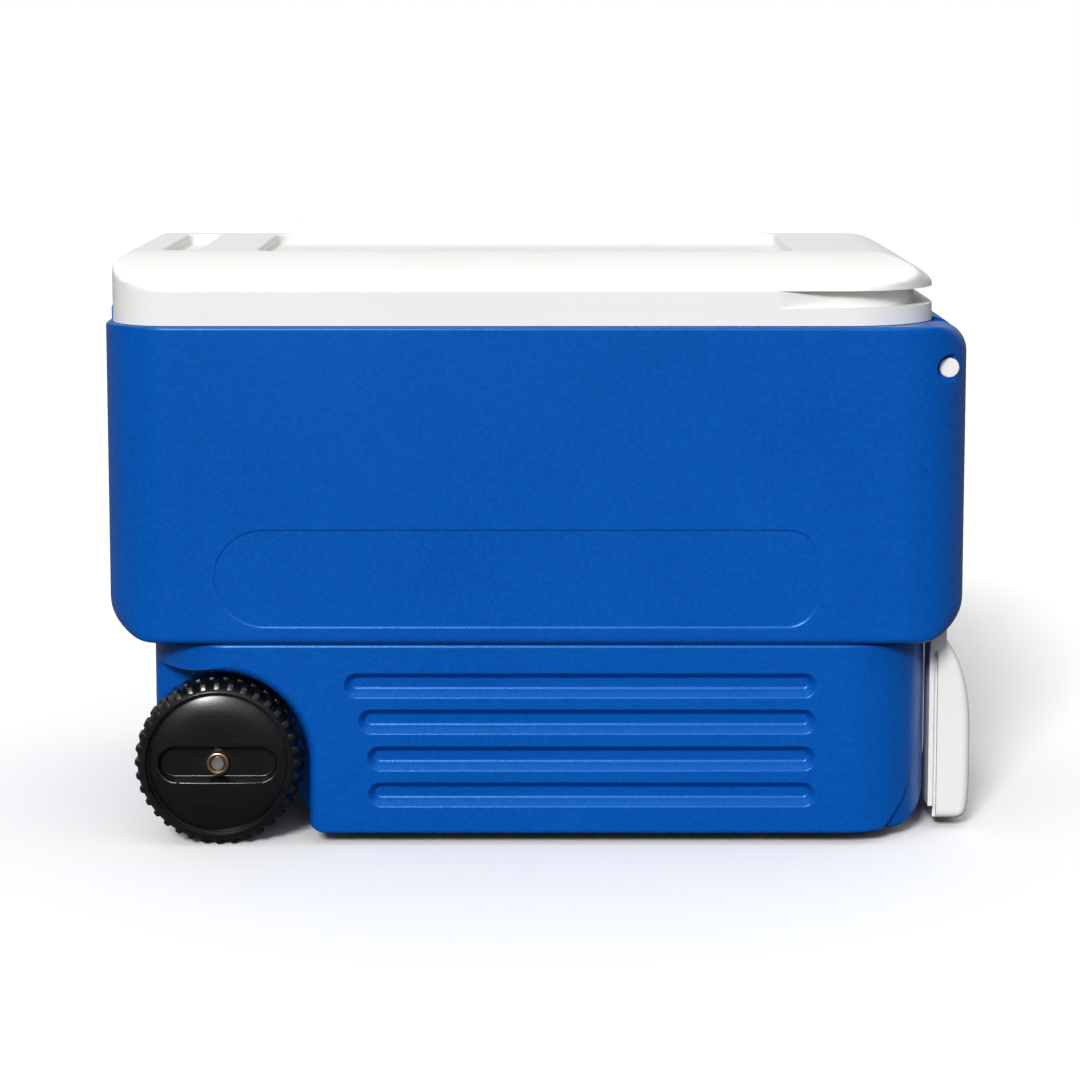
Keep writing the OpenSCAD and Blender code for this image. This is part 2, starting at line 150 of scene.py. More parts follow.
def rod(name, x, z, r, y, vertices=64, front_r=None):
    """Round bar along Y from y[0] to y[1]. front_r is its radius at y[0], if that differs."""
    bpy.ops.mesh.primitive_cone_add(
        vertices=vertices,
        radius1=r * MM,
        radius2=(front_r or r) * MM,
        depth=(y[1] - y[0]) * MM,
        location=(x * MM, (y[0] + y[1]) / 2 * MM, z * MM),
        rotation=(math.pi / 2, 0, 0),
    )
    return placed(name)


def choose(obj, kind, test):
    """Opens obj for editing with only what passes the test selected."""
    only(obj)
    bpy.ops.object.mode_set(mode="EDIT")
    bpy.ops.mesh.select_mode(type=kind)
    bpy.ops.mesh.select_all(action="DESELECT")
    bpy.ops.object.mode_set(mode="OBJECT")
    mesh = obj.data
    if kind == "VERT":
        for vertex in mesh.vertices:
            vertex.select = test(vertex.co / MM)
    elif kind == "EDGE":
        for edge in mesh.edges:
            a, b = (mesh.vertices[i].co / MM for i in edge.vertices)
            edge.select = test(a, b)
    else:
        for face in mesh.polygons:
            face.select = test(face.center / MM, face.normal)
    bpy.ops.object.mode_set(mode="EDIT")


def close_edit():
    bpy.ops.object.mode_set(mode="OBJECT")


def choose_points(obj, points):
    """Opens obj for editing with only the vertices of these numbers selected."""
    choose(obj, "VERT", lambda co: False)
    close_edit()
    for i in points:
        obj.data.vertices[i].select = True
    bpy.ops.object.mode_set(mode="EDIT")


def bevel_chosen(width, segments):
    bpy.ops.mesh.bevel(offset=width * MM, segments=segments, affect="EDGES", clamp_overlap=False)
    close_edit()


def round_edges(obj, width, segments, test):
    """Rounds the edges whose two ends pass the test."""
    choose(obj, "EDGE", test)
    bevel_chosen(width, segments)


def round_sharp(obj, width, segments, keep=None, angle=40):
    """Rounds every edge sharper than the angle, where keep(a, b) allows it."""
    choose(obj, "EDGE", lambda a, b: False)
    bpy.ops.mesh.edges_select_sharp(sharpness=math.radians(angle))
    close_edit()
    mesh = obj.data
    for edge in mesh.edges:
        a, b = (mesh.vertices[i].co / MM for i in edge.vertices)
        edge.select = edge.select and (keep is None or keep(a, b))
    bpy.ops.object.mode_set(mode="EDIT")
    bevel_chosen(width, segments)


def move_chosen(obj, test, by):
    """Moves the vertices that pass the test."""
    choose(obj, "VERT", test)
    bpy.ops.transform.translate(value=[c * MM for c in by])
    close_edit()


def slice_at(obj, axis, places):
    """Cuts edge loops through obj at each place along an axis."""
    normal = [0, 0, 0]
    normal[axis] = 1
    for place in places:
        point = [0, 0, 0]
        point[axis] = place * MM
        choose(obj, "FACE", lambda c, n: True)
        bpy.ops.mesh.bisect(plane_co=point, plane_no=normal)
        close_edit()


def ring_points(obj):
    """Places of the vertices that are selected in edit mode."""
    obj.update_from_editmode()
    return [v.co.copy() for v in obj.data.vertices if v.select]


def raise_rings(obj, test, rings):
    """Extrudes the face that passes the test through rings.

    Each ring is fitted to its lowest and highest corner.
    """
    choose(obj, "FACE", test)
    for low, high in rings:
        bpy.ops.mesh.extrude_region_move()
        points = ring_points(obj)
        a = Vector([min(p[i] for p in points) for i in range(3)])
        b = Vector([max(p[i] for p in points) for i in range(3)])
        low, high = Vector(low) * MM, Vector(high) * MM
        scale = [1, 1, 1]
        for i in range(3):
            if b[i] - a[i] > 1e-6:
                scale[i] = (high[i] - low[i]) / (b[i] - a[i])
        bpy.ops.transform.resize(value=scale, center_override=(a + b) / 2)
        bpy.ops.transform.translate(value=(low + high) / 2 - (a + b) / 2)
    close_edit()


def squeeze_rings(obj, test, rings, margin):
    """Extrudes the face that passes the test up or down through rings.

    A ring keeps the face's outline. Only what lies in the margin along its box is drawn in.
    """
    choose(obj, "FACE", test)
    close_edit()
    for low, high in rings:
        bpy.ops.object.mode_set(mode="EDIT")
        bpy.ops.mesh.extrude_region_move()
        z = max(p.z for p in ring_points(obj)) / MM
        bpy.ops.transform.translate(value=(0, 0, (high[2] - z) * MM))
        close_edit()
        ring = [v.index for v in obj.data.vertices if v.select]
        for axis in (0, 1):
            for limit, side in ((low[axis], -1), (high[axis], 1)):
                start = limit - side * margin
                places = [obj.data.vertices[i].co[axis] / MM for i in ring]
                reach = max((c - start) * side for c in places)
                if reach <= margin:
                    continue
                scale, about = [1, 1, 1], [0, 0, 0]
                scale[axis], about[axis] = margin / reach, start * MM
                choose_points(obj, [i for i, c in zip(ring, places) if (c - start) * side > 0])
                bpy.ops.transform.resize(value=scale, center_override=about)
                close_edit()
        choose_points(obj, ring)
        bpy.ops.mesh.select_mode(type="FACE")
        close_edit()


def apply_boolean(obj, how, tools):
    """Applies one boolean for each tool, removes the tools and merges the doubles."""
    for tool in tools:
        cut = obj.modifiers.new(how, "BOOLEAN")
        cut.operation = how
        cut.solver = "EXACT"
        cut.object = tool
        only(obj)
        bpy.ops.object.modifier_apply(modifier=cut.name)
        bpy.data.objects.remove(tool)
    choose(obj, "VERT", lambda co: True)
    bpy.ops.mesh.remove_doubles(threshold=0.005 * MM)
    close_edit()
    return obj


def carve(obj, *tools):
    return apply_boolean(obj, "DIFFERENCE", tools)


def fuse(obj, *others):
    return apply_boolean(obj, "UNION", others)


def trim_to(obj, *others):
    return apply_boolean(obj, "INTERSECT", others)


def copied(obj, name):
    copy = obj.copy()
    copy.data = obj.data.copy()
    copy.name = copy.data.name = name
    bpy.context.collection.objects.link(copy)
    return copy


def mirrored(obj, name):
    """Copy of obj on the other side of the middle plane."""
    copy = copied(obj, name)
    copy.data.transform(Matrix.Scale(-1, 4, (0, 1, 0)))
    copy.data.flip_normals()
    return copy


def pair(obj):
    """The shape and its mirror image on the rear side."""
    return [obj, mirrored(obj, obj.name + "_rear")]


def together(name, objs):
    """Joins separate shapes into one object."""
    bpy.ops.object.select_all(action="DESELECT")
    for obj in objs:
        obj.select_set(True)
    bpy.context.view_layer.objects.active = objs[0]
    bpy.ops.object.join()
    objs[0].name = objs[0].data.name = name
    return objs[0]


def plan_block(name, x, hw, z, left_r, right_r, segments=14):
    """Box with rounded upright corners."""
    obj = block(name, x, (-hw, hw), z)
    middle = (x[0] + x[1]) / 2
    for r, side in ((left_r, -1), (right_r, 1)):

        def upright(a, b):
            return (a - b).xy.length < 0.01 and (a.x - middle) * side > 0

        round_edges(obj, r, segments, upright)
    return obj


def edge_at(axes, place):
    """Test for edges whose two ends lie at a place on the given axes."""
    return lambda a, b: all(abs(p[i] - c) < 0.05 for p in (a, b) for i, c in zip(axes, place))


def smooth(obj):
    """Smooth shading with sharp edges kept, and flat faces that stay flat."""
    only(obj)
    bpy.ops.object.shade_smooth_by_angle(angle=math.radians(30))
    flat = obj.modifiers.new("flat_faces", "WEIGHTED_NORMAL")
    flat.keep_sharp, flat.weight = True, 80
    bpy.ops.object.modifier_apply(modifier=flat.name)


def settle(obj, body, material, node):
    """Gives a finished piece its shading, finish and body, and hides the solid node that it stands for.
    """
    smooth(obj)
    obj.data.materials.clear()
    obj.data.materials.append(material)
    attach(obj, body)
    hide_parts(node)


# Finishes --------------------------------------------------------------------


class Nodes:
    """A node tree with short calls for adding and joining nodes."""

    def __init__(self, tree):
        self.tree = tree

    def add(self, kind):
        return self.tree.nodes.new(kind)

    def join(self, source, target):
        self.tree.links.new(source, target)


def group_tree(name, inputs, outputs):
    """Empty shader group with named sockets, and its two end nodes."""
    tree = bpy.data.node_groups.new(name, "ShaderNodeTree")
    for label, kind, value in inputs:
        socket = tree.interface.new_socket(name=label, in_out="INPUT", socket_type=kind)
        socket.default_value = value
    for label, kind in outputs:
        tree.interface.new_socket(name=label, in_out="OUTPUT", socket_type=kind)
    return Nodes(tree), tree.nodes.new("NodeGroupInput"), tree.nodes.new("NodeGroupOutput")


FLOAT, COLOR = "NodeSocketFloat", "NodeSocketColor"


def noise(nodes, source, detail, roughness, scale):
    """Noise over a place, at the scale that a socket gives."""
    node = nodes.add("ShaderNodeTexNoise")
    node.inputs["Detail"].default_value = detail
    node.inputs["Roughness"].default_value = roughness
    nodes.join(source, node.inputs["Vector"])
    nodes.join(scale, node.inputs["Scale"])
    return node.outputs["Fac"]


def ramp(nodes, source, low, high, to_low=0.0, to_high=1.0):
    """Turns a value between low and high into one between to_low and to_high."""
    node = nodes.add("ShaderNodeMapRange")
    labels = ("From Min", "From Max", "To Min", "To Max")
    for label, value in zip(labels, (low, high, to_low, to_high)):
        node.inputs[label].default_value = value
    nodes.join(source, node.inputs["Value"])
    return node.outputs["Result"]


def calc(nodes, operation, a, b):
    node = nodes.add("ShaderNodeMath")
    node.operation = operation
    for socket, value in zip(node.inputs, (a, b)):
        if isinstance(value, (int, float)):
            socket.default_value = value
        else:
            nodes.join(value, socket)
    return node.outputs["Value"]


def blend_color(nodes, factor, a, b):
    """Colour a where the factor is 0, and colour b where it is 1."""
    node = nodes.add("ShaderNodeMix")
    node.data_type = "RGBA"
    for label, value in (("Factor", factor), ("A", a), ("B", b)):
        same = [s for s in node.inputs if s.name == label]
        socket = [s for s in same if label == "Factor" or s.type == "RGBA"][0]
        if isinstance(value, (int, float, tuple)):
            socket.default_value = value
        else:
            nodes.join(value, socket)
    return [s for s in node.outputs if s.type == "RGBA"][0]


def make_grain_group():
    """Fine pebble texture of a mould, and a mask of its highest pebbles, where painted glints stand for
    the pebbles catching the light.
    """
    nodes, start, end = group_tree(
        "mould_grain",
        [("Scale", FLOAT, 1200.0), ("Coarse", FLOAT, 0.35)],
        [("Height", FLOAT), ("Painted glints", FLOAT)],
    )
    place = nodes.add("ShaderNodeTexCoord").outputs["Object"]
    fine = noise(nodes, place, 2.0, 0.5, start.outputs["Scale"])
    third = calc(nodes, "MULTIPLY", start.outputs["Scale"], 0.31)
    broad = noise(nodes, place, 1.0, 0.5, third)
    height = calc(nodes, "ADD", fine, calc(nodes, "MULTIPLY", broad, start.outputs["Coarse"]))
    nodes.join(height, end.inputs["Height"])
    nodes.join(ramp(nodes, height, 0.62, 0.92), end.inputs["Painted glints"])
    return nodes.tree


def make_drift_group():
    """Slow colour change across a moulding, between two colours."""
    nodes, start, end = group_tree(
        "colour_drift",
        [("Light", COLOR, (1, 1, 1, 1)), ("Dark", COLOR, (0.5, 0.5, 0.5, 1)), ("Scale", FLOAT, 6.0)],
        [("Color", COLOR), ("Mask", FLOAT)],
    )
    place = nodes.add("ShaderNodeTexCoord").outputs["Object"]
    mask = ramp(nodes, noise(nodes, place, 4.0, 0.6, start.outputs["Scale"]), 0.3, 0.7)
    color = blend_color(nodes, mask, start.outputs["Dark"], start.outputs["Light"])
    nodes.join(color, end.inputs["Color"])
    nodes.join(mask, end.inputs["Mask"])
    return nodes.tree


def make_scuff_group():
    """Mask of faint rubbed streaks and of worn edges."""
    nodes, start, end = group_tree(
        "scuffs",
        [("Scale", FLOAT, 30.0), ("Amount", FLOAT, 0.5), ("Edge", FLOAT, 0.5)],
        [("Mask", FLOAT), ("Edges", FLOAT)],
    )
    place = nodes.add("ShaderNodeTexCoord").outputs["Object"]
    turn = nodes.add("ShaderNodeMapping")
    turn.inputs["Rotation"].default_value = (0.4, 0.7, 0.2)
    turn.inputs["Scale"].default_value = (1.0, 9.0, 5.0)
    nodes.join(place, turn.inputs["Vector"])
    streaks = noise(nodes, turn.outputs["Vector"], 6.0, 0.7, start.outputs["Scale"])
    streaks = calc(nodes, "MULTIPLY", ramp(nodes, streaks, 0.58, 0.72), start.outputs["Amount"])
    nodes.join(streaks, end.inputs["Mask"])
    point = nodes.add("ShaderNodeNewGeometry").outputs["Pointiness"]
    edge = calc(nodes, "MULTIPLY", ramp(nodes, point, 0.52, 0.62), start.outputs["Edge"])
    nodes.join(edge, end.inputs["Edges"])
    return nodes.tree


GRAIN, DRIFT, SCUFFS = make_grain_group(), make_drift_group(), make_scuff_group()


def place_group(nodes, tree, **values):
    node = nodes.add("ShaderNodeGroup")
    node.node_tree = tree
    for label, value in values.items():
        node.inputs[label].default_value = value
    return node


def moulded(
    name,
    light,
    dark,
    wear_and_glint,
    roughness,
    grain_scale=1200.0,
    grain_depth=0.05,
    painted_glint=0.0,
    drift_scale=6.0,
    scuff=0.3,
    edge=0.4,
    coat=0.0,
    metallic=0.0,
    specular=0.5,
    tint=(1.0, 1.0, 1.0),
):
    """Moulded or pressed finish with drifting colour, fine grain with painted glints on its highest
    pebbles, faint scuffs and worn edges.
    """
    material = bpy.data.materials.new(name)
    material.use_nodes = True
    material.diffuse_color = (*light, 1)
    nodes = Nodes(material.node_tree)
    shader = nodes.tree.nodes["Principled BSDF"]
    shader.inputs["Metallic"].default_value = metallic
    shader.inputs["Specular IOR Level"].default_value = specular
    shader.inputs["Specular Tint"].default_value = (*tint, 1)
    shader.inputs["Coat Weight"].default_value = coat
    shader.inputs["Coat Roughness"].default_value = 0.12
    grain = place_group(nodes, GRAIN, Scale=grain_scale, Coarse=0.5)
    drift = place_group(nodes, DRIFT, Light=(*light, 1), Dark=(*dark, 1), Scale=drift_scale)
    scuffs = place_group(nodes, SCUFFS, Scale=28.0, Amount=scuff, Edge=edge)
    color = drift.outputs["Color"]
    # Painted highlight: the grain's highest specks are lightened towards the wear colour as glints of
    # light on the pebbles
    if painted_glint:
        factor = calc(nodes, "MULTIPLY", grain.outputs["Painted glints"], painted_glint)
        color = blend_color(nodes, factor, color, (*wear_and_glint, 1))
    color = blend_color(nodes, scuffs.outputs["Edges"], color, (*wear_and_glint, 1))
    rubbed = calc(nodes, "MULTIPLY", scuffs.outputs["Mask"], 0.25)
    color = blend_color(nodes, rubbed, color, (*wear_and_glint, 1))
    nodes.join(color, shader.inputs["Base Color"])
    rough = ramp(nodes, drift.outputs["Mask"], 0.0, 1.0, roughness * 0.88, roughness * 1.12)
    rough = calc(nodes, "ADD", rough, calc(nodes, "MULTIPLY", scuffs.outputs["Mask"], 0.12))
    nodes.join(rough, shader.inputs["Roughness"])
    bump = nodes.add("ShaderNodeBump")
    bump.inputs["Strength"].default_value = 0.6
    bump.inputs["Distance"].default_value = grain_depth * MM
    nodes.join(grain.outputs["Height"], bump.inputs["Height"])
    nodes.join(bump.outputs["Normal"], shader.inputs["Normal"])
    return material


# The blue moulding's grain carries painted glints, lighter specks that stand in for light catching the
# pebbles
BLUE = moulded(
    "blue_moulding", (0.0, 0.074, 0.4), (0.0, 0.065, 0.365), (0.0, 0.15, 0.55), 0.28,
    grain_scale=900.0, grain_depth=0.12, painted_glint=0.3, drift_scale=5.0, scuff=0.12, edge=0.12,
    specular=0.6, tint=(0.3, 0.75, 1.0),
)  # fmt: skip
WHITE_LID = moulded(
    "white_lid_moulding", (0.81, 0.81, 0.795), (0.79, 0.79, 0.77), (0.84, 0.84, 0.81), 0.45,
    grain_scale=1500.0, grain_depth=0.03, drift_scale=4.0, scuff=0.25, edge=0.2,
)  # fmt: skip
WHITE_HANDLE = moulded(
    "white_handle_moulding", (0.84, 0.84, 0.825), (0.81, 0.81, 0.79), (0.86, 0.86, 0.83), 0.38,
    grain_scale=1500.0, grain_depth=0.04, drift_scale=9.0, scuff=0.3, edge=0.2,
)  # fmt: skip
WHITE_LINER = moulded(
    "white_liner_gloss", (0.84, 0.85, 0.85), (0.8, 0.81, 0.81), (0.88, 0.88, 0.88), 0.22,
    grain_scale=500.0, grain_depth=0.02, drift_scale=5.0, scuff=0.3, edge=0.1, coat=0.3,
)  # fmt: skip
BLACK_WHEEL = moulded(
    "black_wheel_moulding", (0.005, 0.005, 0.006), (0.003, 0.003, 0.004), (0.03, 0.03, 0.031), 0.24,
    grain_scale=1600.0, grain_depth=0.03, drift_scale=20.0, scuff=0.4, edge=0.3, specular=0.5,
)  # fmt: skip
BLACK_NYLON = moulded(
    "black_nylon", (0.02, 0.02, 0.02), (0.012, 0.012, 0.012), (0.05, 0.05, 0.05), 0.45,
    grain_scale=1600.0, grain_depth=0.04, drift_scale=40.0,
)  # fmt: skip
STEEL = moulded(
    "zinc_steel", (0.62, 0.62, 0.6), (0.46, 0.46, 0.45), (0.78, 0.78, 0.76), 0.3,
    grain_scale=2200.0, grain_depth=0.03, drift_scale=160.0, scuff=0.7, metallic=1.0,
)  # fmt: skip
BRONZE = moulded(
    "bronze_cap", (0.47, 0.35, 0.2), (0.3, 0.2, 0.1), (0.72, 0.6, 0.4), 0.28,
    grain_scale=2200.0, grain_depth=0.03, drift_scale=160.0, scuff=0.7, metallic=1.0,
)  # fmt: skip
# The foam's grain carries painted glints, lighter specks that stand in for light catching the pebbles
FOAM = moulded(
    "insulating_foam", (0.86, 0.77, 0.5), (0.72, 0.6, 0.34), (0.93, 0.87, 0.66), 0.85,
    grain_scale=700.0, grain_depth=0.5, painted_glint=0.4, drift_scale=14.0, scuff=0.0, edge=0.0,
)  # fmt: skip


# Tub -------------------------------------------------------------------------


def rounding(r, depth):
    """How far a quarter round of radius r lies inside its faces, at a depth below its top."""
    return r - math.sqrt(r * r - (r - depth) ** 2) if depth < r else 0.0


def upper_tub(i):
    """Upper tub with every face moved in by i.

    It is rolled over at its foot, at its rim and at the top of its handle end.
    """
    x0, x1, hw, corner = TUB_X0 + i, TUB_X1 - i, TUB_HW - i, TUB_CORNER - i
    z0, z1, foot, top = LEDGE_Z + i, RIM_Z - i, TUB_FOOT_R - i, TUB_TOP_R - i
    edge = TUB_EDGE_R - i
    tub = plan_block("upper_tub", (x0, x1), hw, (z0 + foot, z1 - top), corner, corner)
    low_rings, high_rings = [], []
    for k in range(1, 13):
        up = 1 - math.sin(math.radians(7.5 * k))
        z, end, side = z0 + foot * up, rounding(foot, foot * up), rounding(edge, foot * up)
        low_rings.append(((x0 + end, -hw + side, z), (x1 - end, hw - side, z)))
        z, end, side = z1 - top * up, rounding(top, top * up), rounding(edge / 2, top * up)
        high_rings.append(((x0 + side, -hw + side, z), (x1 - end, hw - side, z)))
    squeeze_rings(tub, lambda c, n: n.z < -0.9, low_rings, TUB_SQUEEZE)
    squeeze_rings(tub, lambda c, n: n.z > 0.9, high_rings, TUB_SQUEEZE)
    return tub


def rolled_top(x0, x1, hw):
    """Rings that roll the top edge of the lower tub over, just under the upper tub."""
    roll, steps = LOW_TOP_R, []
    for k in range(1, 6):
        turn = math.radians(15 * k)
        steps.append((roll * (1 - math.cos(turn)), LEDGE_Z - roll * (1 - math.sin(turn))))
    steps += [(roll + 0.4, LEDGE_Z + 0.2), (roll + 0.4, LEDGE_Z + 20)]
    return [((x0 + g, -hw + g, z), (x1 - g, hw - g, z)) for g, z in steps]


def rolled_foot(x0, x1, hw, z0):
    """Rings that roll the bottom edges of the lower tub under."""
    rings = []
    for depth in (1.5, 0.7, 0.2, 0.0):
        g = rounding(LOW_BOTTOM_R, depth)
        rings.append(((x0 + g, -hw + g, z0 + depth), (x1 - g, hw - g, z0 + depth)))
    return rings


def lower_tub(i):
    """Lower tub, every face moved in by i.

    Its long sides end in a curved crease, its end stands back from them, and a step clears the axle.
    """
    x0, x1, hw, corner = LOW_X0 + i, LOW_X1 - i, LOW_HW - i, LOW_CORNER - i
    straight = (BASE_Z + i + LOW_SEAT, LEDGE_Z - LOW_TOP_R)
    tub = plan_block("lower_tub", (x0, x1), hw, straight, corner, corner)
    raise_rings(tub, lambda c, n: n.z > 0.9, rolled_top(x0, x1, hw))
    raise_rings(tub, lambda c, n: n.z < -0.9, rolled_foot(x0, x1, hw, BASE_Z + i))
    outline_z = (BASE_Z + i - 0.02, LEDGE_Z + 60)
    side = block("side", (STEP_X + i, x1 + 0.02), (-FAR_Y, FAR_Y), outline_z)
    round_edges(side, 26 - i, 10, edge_at((0, 2), (STEP_X + i, outline_z[0])))
    slice_at(side, 2, [z + i for z, x in CREASE[1:]])
    for z, x in CREASE:
        right = lambda co: co.x > x1 - 0.01 and abs(co.z - z - i) < 0.05
        move_chosen(side, right, (x - LOW_X1 - 0.02, 0, 0))
    over_x, over_z = (x0 - 10, STEP_X + i + 30), (STEP_Z + i, LEDGE_Z + 50)
    fuse(side, block("over_axle", over_x, (-290, 290), over_z))
    trim_to(tub, side)
    x0, x1, hw = 100, x1 - 0.1, hw - END_BACK
    end = plan_block("end", (x0, x1), hw, straight, 20, corner - END_BACK)
    raise_rings(end, lambda c, n: n.z > 0.9, rolled_top(x0, x1, hw))
    raise_rings(end, lambda c, n: n.z < -0.9, rolled_foot(x0, x1, hw, BASE_Z + i))
    foot = block("foot", (x0 - 10, x1 + 0.02), (-FAR_Y, FAR_Y), outline_z)
    round_edges(foot, LOW_FOOT_R - i, 10, edge_at((0, 2), (x1 + 0.02, outline_z[0])))
    trim_to(end, foot)
    return fuse(tub, end)


def wheel_well(i):
    """Space for a wheel, open at the floor and the end, flaring softly into the long side."""
    depth, r, lip = 12.0, WELL_R + i, FLARE_R - WELL_R
    back, out = WELL_Y - i, LOW_HW
    well = rod("well", AXLE_X, AXLE_Z, r, (-(out - depth), -back), 96)
    rings = []
    for k in range(1, 10):
        turn = math.radians(10 * k)
        s, grow = depth * math.sin(turn), lip * (1 - math.cos(turn))
        rings.append((out - depth + s, r + grow))
    rings += [(out + 40, FLARE_R + i)]
    raise_rings(
        well,
        lambda c, n: n.y < -0.9,
        [((AXLE_X - q, -y, AXLE_Z - q), (AXLE_X + q, -y, AXLE_Z + q)) for y, q in rings],
    )
    move_chosen(well, lambda co: co.x < AXLE_X - 0.5, (-150, 0, 9))
    move_chosen(well, lambda co: co.z < AXLE_Z - 0.5, (0, 0, -120))
    return well


def arm_channel(i):
    """Channel in the end that one handle arm lies in."""
    inner, outer = HANDLE_HW - ARM_W - 2.5 - i, HANDLE_HW + 2.5 + i
    return block("channel", (263.5 - i, FAR_X), (-outer, -inner), (LEDGE_Z - 30, 500))


def hand_scoop(i):
    """Hollow behind the grip for the fingers, open at the floor."""
    scoop = block("scoop", (238 - i, FAR_X), (-98 - i, 98 + i), (-60, 102 + i))
    round_edges(scoop, 14, 6, edge_at((0, 2), (238 - i, 102 + i)))
    return scoop


def groove_profile():
    """Wall of a groove from its back to the long side: distance out along the side, and depth."""
    turn = math.atan2(GROOVE_DEPTH, GROOVE_WALL)
    inner, outer = GROOVE_IN_R, GROOVE_OUT_R
    run_in, run_out = inner * math.tan(turn / 2), outer * math.tan(turn / 2)
    line = []
    for k in range(1, 7):
        a = turn * k / 6
        line.append((inner * math.sin(a) - run_in, GROOVE_DEPTH - inner * (1 - math.cos(a))))
    for k in range(5, -1, -1):
        a = turn * k / 5
        line.append((GROOVE_WALL + run_out - outer * math.sin(a), outer * (1 - math.cos(a))))
    line.append((GROOVE_WALL + run_out + 0.4, -0.05))
    return run_in, line + [(GROOVE_WALL + run_out + 2, -2)]


def groove(z, x0):
    """Long groove with round ends, a steep upper wall and a lower wall that slopes more gently."""
    steep = GROOVE_STEEP
    run_in, line = groove_profile()
    low, high = z - GROOVE_H / 2 + GROOVE_WALL, z + GROOVE_H / 2 - steep * GROOVE_WALL
    back = (low + run_in, high - steep * run_in)
    end_x, r, y = x0 + GROOVE_H / 2, (back[1] - back[0]) / 2, -(LOW_HW - GROOVE_DEPTH)
    tool = rod("groove", end_x, sum(back) / 2, r, (y - 0.01, y), 48)
    rings = []
    for s, d in line:
        r = (high + steep * s - low + s) / 2
        rings.append(((end_x - r, d - LOW_HW, low - s), (end_x + r, d - LOW_HW, high + steep * s)))
    raise_rings(tool, lambda c, n: n.y < -0.9, rings)
    move_chosen(tool, lambda co: co.x > end_x + 0.05, (GROOVE_X1 - x0 - GROOVE_H, 0, 0))
    return tool


def name_panel():
    """Plain outlined panel, sunk a little into the long side."""
    (x0, x1), (z0, z1) = PANEL_X, PANEL_Z
    tool = block("panel", PANEL_X, (-TUB_HW - 6, -TUB_HW - 0.04), PANEL_Z)
    for x, r in zip(PANEL_X, PANEL_R):
        at_end = edge_at((0,), (x,))
        round_edges(tool, r, 12, lambda a, b: abs(a.y - b.y) > 1 and at_end(a, b))
    rings = []
    for inset, depth in ((0.9, 0.36), (1.5, 0.85)):
        y = -TUB_HW + depth
        rings.append(((x0 + inset, y, z0 + inset), (x1 - inset, y, z1 - inset)))
    raise_rings(tool, lambda c, n: n.y > 0.9, rings)
    return tool


def knuckle(y0, y1):
    """One knuckle of the lid hinge, standing on the tub's rim."""
    tool = rod("knuckle", HINGE_X, HINGE_Z, KNUCKLE_R, (y0, y1), 32)
    across = (HINGE_X - KNUCKLE_R, HINGE_X + KNUCKLE_R)
    return fuse(tool, block("foot", across, (y0, y1), (RIM_Z - 2, HINGE_Z)))


def outer_form(i):
    """Outside of the tub with every face moved in by i."""
    tub = fuse(upper_tub(i), lower_tub(i))
    return carve(tub, *pair(wheel_well(i)), *pair(arm_channel(i)), hand_scoop(i))


tub = outer_form(0)
for z, x0 in GROOVES:
    carve(tub, *pair(groove(z, x0)))
hollow = outer_form(WALL)
groove_back = -(LOW_HW - GROOVE_DEPTH - WALL)
behind_grooves = block("behind_grooves", (-137.5, 188.5), (-FAR_Y, groove_back), (24, 122.5))
boss = rod("boss", PIVOT_X, PIVOT_Z, 12, (-FAR_Y, -HANDLE_HW))
carve(hollow, *pair(behind_grooves), *pair(boss))
foam = copied(hollow, "body_foam_fill")
carve(tub, hollow)
carve(tub, *pair(name_panel()))
seat_z = (RIM_Z - RIM_THICK, RIM_Z + 60)
carve(tub, plan_block("flange_seat", (TUB_X0 + 11, TUB_X1 - 29), TUB_HW - 10, seat_z, 38, 56))
pin_hole = rod("pin_hole", PIVOT_X, PIVOT_Z, PIN_HOLE_R, (-(TUB_HW - 1.2), -(TUB_HW - 18)), 48)
rings, r = [], PIN_HOLE_RIM_R
for y in (TUB_HW + 0.3, TUB_HW + 9):
    rings.append(((PIVOT_X - r, -y, PIVOT_Z - r), (PIVOT_X + r, -y, PIVOT_Z + r)))
raise_rings(pin_hole, lambda c, n: n.y < -0.9, rings)
carve(tub, *pair(pin_hole))
fuse(tub, *pair(block("runner", (178, 232), (-128, -92), (0, BASE_Z + 2))))
for y in (-HINGE_Y - 22.5, -HINGE_Y + 10.5):
    fuse(tub, *pair(knuckle(y, y + 12)))
settle(tub, "tub", BLUE, "outer_shell")


# Liner -----------------------------------------------------------------------


def cavity(grow, top):
    """Inside of the tub: an upper part over the axle and a deeper part in front of it."""
    r, foot = CAVITY_R + grow, CAVITY_FOOT_R + grow
    z = SHELF_Z - grow
    upper = plan_block("upper_cavity", (-258 - grow, 236 + grow), 141 + grow, (z, top), r, r, 10)
    round_edges(upper, foot, 5, lambda a, b: max(a.z, b.z) < z + 0.1)
    z = DEEP_Z - grow
    lower = plan_block("lower_cavity", (-118 - grow, 200 + grow), 135 + grow, (z, 170), r, r, 10)
    round_edges(lower, foot, 5, lambda a, b: max(a.z, b.z) < z + 0.1)
    return fuse(upper, lower)


rim_z = (RIM_Z - RIM_THICK, RIM_Z)
rim_space = block("rim_space", (-FAR_X, FAR_X), (-FAR_Y, FAR_Y), (rim_z[0], 500))
carve(foam, cavity(LINER_WALL, RIM_Z + 30), rim_space)
bush = rod("bush_space", AXLE_X, AXLE_Z, 7, (-WELL_Y - 30, -(WELL_Y - 20)), 48)
carve(foam, rod("axle_space", AXLE_X, AXLE_Z, 4.7, (-FAR_Y, FAR_Y), 48), *pair(bush))
settle(foam, "tub", FOAM, "body_foam")

